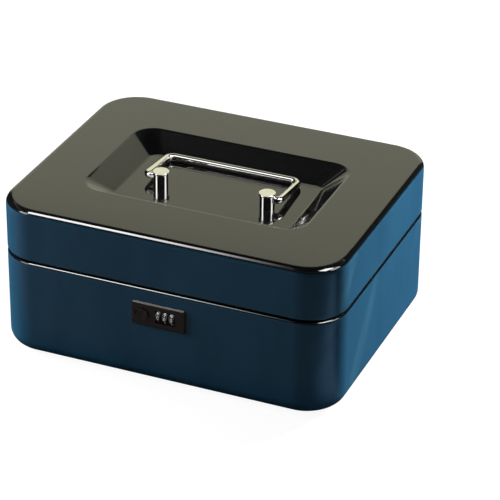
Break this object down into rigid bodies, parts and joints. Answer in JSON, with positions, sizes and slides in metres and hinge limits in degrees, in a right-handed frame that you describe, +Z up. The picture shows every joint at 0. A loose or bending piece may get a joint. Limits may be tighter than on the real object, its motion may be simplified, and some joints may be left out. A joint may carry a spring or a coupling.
{
  "type": "medication lock box",
  "caption": "Rectangular steel lock box with rounded corners, a hinged lid with a pressed recess, a folding wire handle and a combination lock in the front wall.",
  "frame": {"origin": "middle of the base's flat underside, on the surface that the box stands on", "axes": "+X to the right seen from the front (the long side), -Y towards the front wall with the lock, +Z up"},
  "size_m": [0.2, 0.1649, 0.09],
  "materials": {
    "body_paint": "gloss dark blue enamel",
    "lid_paint": "gloss dark blue to black enamel",
    "chrome_steel": "polished",
    "lock_plastic": "satin black",
    "dial_plastic": "black with white digits",
    "zinc_plated": "zinc plated",
    "spring_steel": "bright",
    "brass": "turned"
  },
  "bodies": {
    "base": {"base_shell": "body_paint", "hinge_base_leaf_left": "zinc_plated", "hinge_base_leaf_right": "zinc_plated", "hinge_pin_left": "spring_steel", "hinge_pin_right": "spring_steel", "lock_bezel": "lock_plastic", "lock_housing": "zinc_plated", "lock_back_cover": "zinc_plated", "lock_screw_left": "spring_steel", "lock_screw_right": "spring_steel", "latch_spring": "spring_steel", "detent_spring": "spring_steel"},
    "lid": {"lid_shell": "lid_paint", "lid_catch": "zinc_plated", "hinge_lid_leaf_left": "zinc_plated", "hinge_lid_leaf_right": "zinc_plated", "handle_post_left": "chrome_steel", "handle_post_right": "chrome_steel", "handle_washer_left": "zinc_plated", "handle_washer_right": "zinc_plated", "handle_nut_left": "zinc_plated", "handle_nut_right": "zinc_plated"},
    "bail": {"bail_handle": "chrome_steel"},
    "dial_1": {"dial_1": "dial_plastic", "code_sleeve_1": "brass"},
    "dial_2": {"dial_2": "dial_plastic", "code_sleeve_2": "brass"},
    "dial_3": {"dial_3": "dial_plastic", "code_sleeve_3": "brass"},
    "latch": {"slide_button": "lock_plastic", "latch_slider": "zinc_plated", "code_shaft": "spring_steel"},
    "reset": {"reset_lever": "brass"}
  },
  "joints": [
    {"name": "lid_hinge", "type": "hinge", "parent": "base", "child": "lid", "pos_m": [0, 0.0805, 0.0588], "axis": [-1, 0, 0], "range_deg": [0, 105]},
    {"name": "bail_swing", "type": "hinge", "parent": "lid", "child": "bail", "pos_m": [0, -0.0062, 0.0862], "axis": [1, 0, 0], "range_deg": [0, 175]},
    {"name": "dial_1_turn", "type": "hinge", "parent": "base", "child": "dial_1", "pos_m": [0, -0.078, 0.043], "axis": [1, 0, 0], "continuous": true},
    {"name": "dial_2_turn", "type": "hinge", "parent": "base", "child": "dial_2", "pos_m": [0.004, -0.078, 0.043], "axis": [1, 0, 0], "continuous": true},
    {"name": "dial_3_turn", "type": "hinge", "parent": "base", "child": "dial_3", "pos_m": [0.008, -0.078, 0.043], "axis": [1, 0, 0], "continuous": true},
    {"name": "latch_slide", "type": "slide", "parent": "base", "child": "latch", "axis": [1, 0, 0], "range_m": [-0.0026, 0]},
    {"name": "reset_slide", "type": "slide", "parent": "base", "child": "reset", "axis": [1, 0, 0], "range_m": [0, 0.002]}
  ]
}
